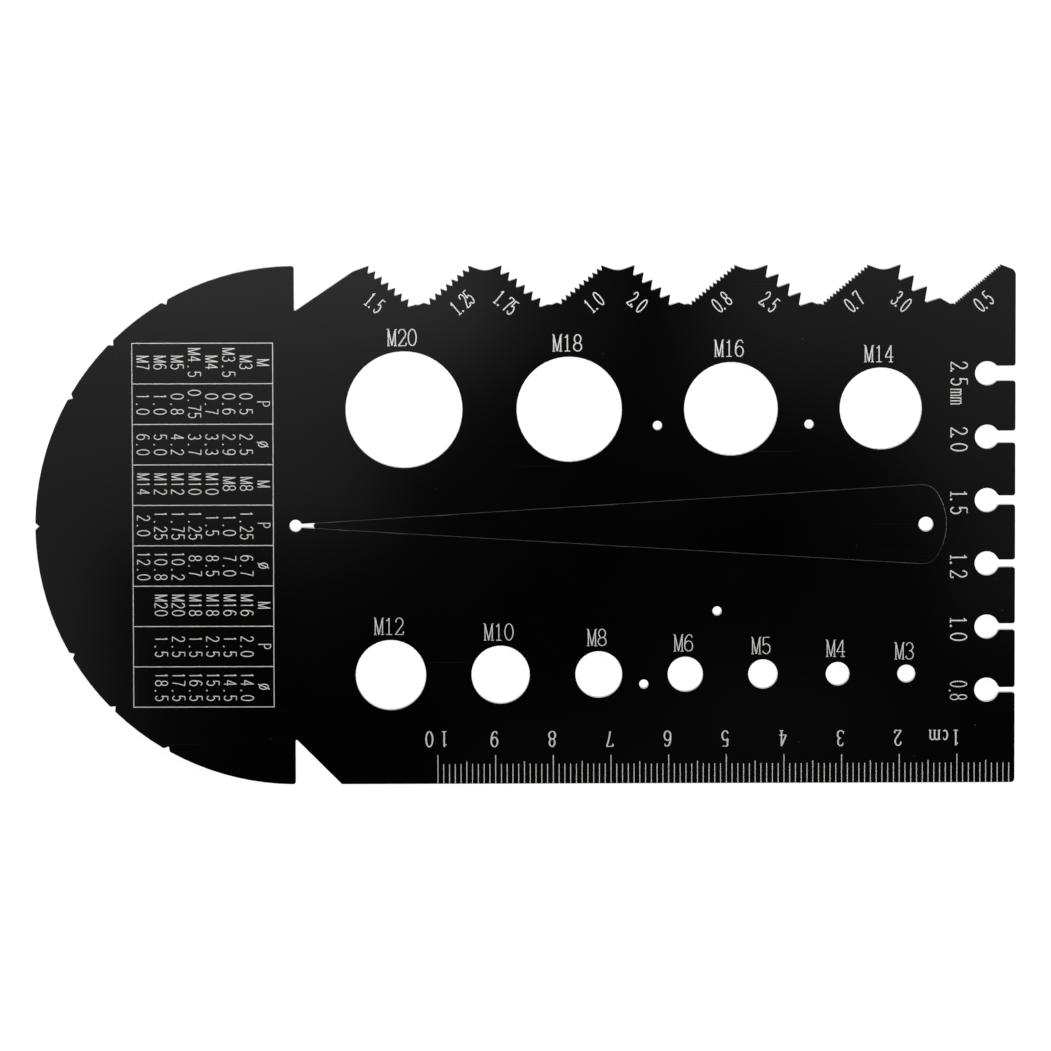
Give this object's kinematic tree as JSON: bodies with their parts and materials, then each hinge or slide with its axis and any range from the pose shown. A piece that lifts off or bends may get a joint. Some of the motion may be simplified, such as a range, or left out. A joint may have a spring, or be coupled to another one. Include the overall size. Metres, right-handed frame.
{
  "type": "thread and drill gauge card",
  "caption": "Flat black gauge card with a half round end, toothed thread troughs, round check holes, keyhole sheet slots, an edge scale and a loose taper gauge in a window.",
  "frame": {"origin": "centre of the half round end, in its small hole, on the lower face", "axes": "+X along the card from the half round end to the straight edge, +Y to the toothed edge, +Z out of the marked face"},
  "size_m": [0.1695, 0.09, 0.0015],
  "materials": {
    "black_plate": "satin black anodised sheet",
    "black_taper": "satin black anodised sheet"
  },
  "bodies": {
    "card": {"gauge_plate": "black_plate"},
    "taper": {"taper_gauge": "black_taper"}
  },
  "joints": [
    {"name": "taper_lift", "type": "slide", "parent": "card", "child": "taper", "axis": [0, 0, 1], "range_m": [0, 0.03]}
  ]
}
